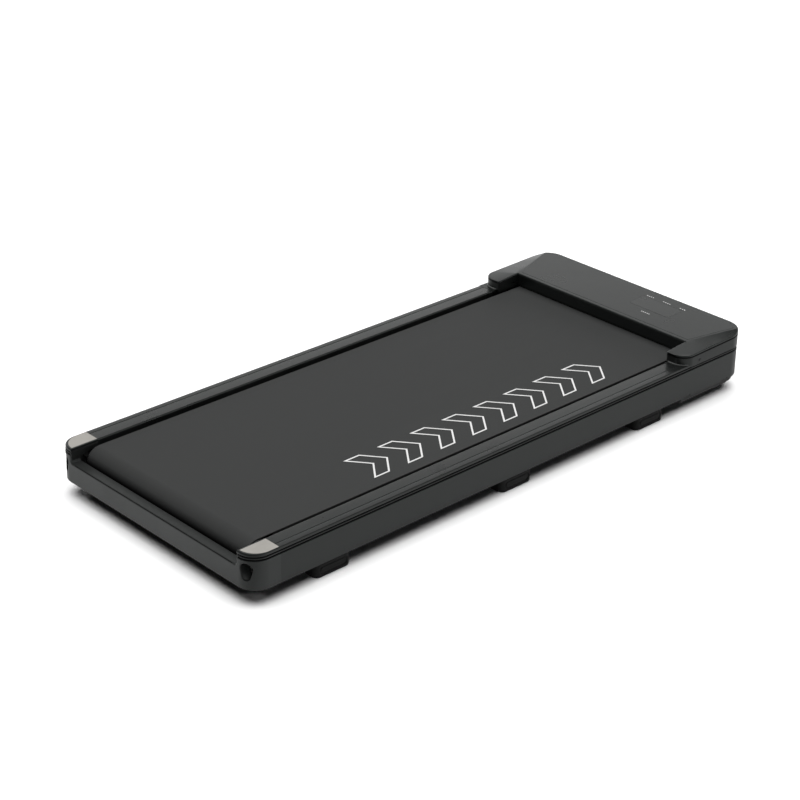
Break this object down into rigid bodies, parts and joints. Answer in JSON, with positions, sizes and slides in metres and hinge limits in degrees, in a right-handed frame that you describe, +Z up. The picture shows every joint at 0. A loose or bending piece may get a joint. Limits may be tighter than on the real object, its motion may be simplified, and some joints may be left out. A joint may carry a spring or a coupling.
{
  "type": "walking pad",
  "caption": "Low under-desk treadmill: endless belt over a deck and rollers in a railed frame, with a motor hood, display panel, tension bolts, transport wheels and rubber feet.",
  "frame": {"origin": "on the floor under the middle of the machine", "axes": "+X to the walker's right, +Y forward to the motor hood, +Z up"},
  "size_m": [0.51, 1.172, 0.118],
  "materials": {
    "side_grey": "fine satin",
    "cap_grey": "fine satin",
    "rail_grey": "fine satin",
    "band_grey": "fine satin",
    "hood_grey": "fine satin",
    "panel_grey": "satin",
    "lens": "smooth tinted",
    "belt": "fine grain",
    "deck": "waxed fibreboard",
    "rubber": "matte",
    "frame_black": "satin powder coat",
    "steel": "turned",
    "screw_black": "black oxide",
    "alloy": "machined",
    "motor_black": "satin",
    "black_plastic": "satin",
    "button": "satin",
    "board": "solder mask",
    "capacitor": "sleeve",
    "pin": "plated"
  },
  "bodies": {
    "base": {"bottom_cover": "black_plastic", "breaker_body": "black_plastic", "capacitors": "capacitor", "control_panel": "panel_grey", "controller_board": "board", "cover_screws": "screw_black", "cross_tubes": "frame_black", "deck_board": "deck", "deck_cushions": "rubber", "deck_screws": "screw_black", "display_board": "board", "display_lens": "lens", "drive_belt": "rubber", "foot_screws": "screw_black", "front_axle": "steel", "front_bearings": "steel", "front_brackets": "frame_black", "front_tray": "side_grey", "heat_sink": "alloy", "hood_base": "band_grey", "hood_cover": "hood_grey", "hood_screws": "screw_black", "inlet_housing": "black_plastic", "inlet_pins": "pin", "left_foot_rail": "rail_grey", "left_frame_beam": "frame_black", "left_front_foot": "rubber", "left_middle_foot": "rubber", "left_rail_end_cap": "rail_grey", "left_rear_foot": "rubber", "left_side_cover": "side_grey", "motor_can": "motor_black", "motor_mount": "frame_black", "motor_plate": "frame_black", "rear_axle": "steel", "rear_bearings": "steel", "rear_end_cap": "cap_grey", "right_foot_rail": "rail_grey", "right_frame_beam": "frame_black", "right_front_foot": "rubber", "right_middle_foot": "rubber", "right_rail_end_cap": "rail_grey", "right_rear_foot": "rubber", "right_side_cover": "side_grey", "running_belt": "belt", "switch_bezel": "black_plastic", "wheel_forks": "frame_black", "wheel_pins": "steel"},
    "front_roller_body": {"front_roller": "steel", "roller_pulley": "alloy"},
    "rear_roller_body": {"rear_roller": "steel"},
    "motor_rotor": {"motor_shaft": "steel", "motor_pulley": "alloy", "motor_fan": "black_plastic"},
    "left_wheel": {"left_transport_wheel": "black_plastic"},
    "right_wheel": {"right_transport_wheel": "black_plastic"},
    "rocker": {"switch_rocker": "black_plastic"},
    "reset_button": {"breaker_button": "button"},
    "left_bolt": {"left_tension_bolt": "steel"},
    "right_bolt": {"right_tension_bolt": "steel"}
  },
  "joints": [
    {"name": "front_roller_spin", "type": "hinge", "parent": "base", "child": "front_roller_body", "pos_m": [0, 0.48, 0.0604], "axis": [1, 0, 0], "continuous": true},
    {"name": "rear_roller_spin", "type": "hinge", "parent": "base", "child": "rear_roller_body", "pos_m": [0, -0.535, 0.0604], "axis": [1, 0, 0], "continuous": true},
    {"name": "motor_spin", "type": "hinge", "parent": "base", "child": "motor_rotor", "pos_m": [-0.15, 0.543, 0.07], "axis": [1, 0, 0], "continuous": true},
    {"name": "left_wheel_spin", "type": "hinge", "parent": "base", "child": "left_wheel", "pos_m": [-0.224, 0.535, 0.024], "axis": [1, 0, 0], "continuous": true},
    {"name": "right_wheel_spin", "type": "hinge", "parent": "base", "child": "right_wheel", "pos_m": [0.224, 0.535, 0.024], "axis": [1, 0, 0], "continuous": true},
    {"name": "power_rocker", "type": "hinge", "parent": "base", "child": "rocker", "pos_m": [0.142, 0.578, 0.05625], "axis": [-1, 0, 0], "range_deg": [0, 14]},
    {"name": "breaker_reset", "type": "slide", "parent": "base", "child": "reset_button", "axis": [0, 1, 0], "range_m": [0, 0.003]},
    {"name": "left_tension_turn", "type": "hinge", "parent": "base", "child": "left_bolt", "pos_m": [-0.235, -0.56, 0.0604], "axis": [0, 1, 0], "range_deg": [-90, 90]},
    {"name": "right_tension_turn", "type": "hinge", "parent": "base", "child": "right_bolt", "pos_m": [0.235, -0.56, 0.0604], "axis": [0, 1, 0], "range_deg": [-90, 90]}
  ],
  "couplings": [
    {"joint": "rear_roller_spin", "follows": "front_roller_spin", "ratio": 1},
    {"joint": "motor_spin", "follows": "front_roller_spin", "ratio": 2.8}
  ]
}
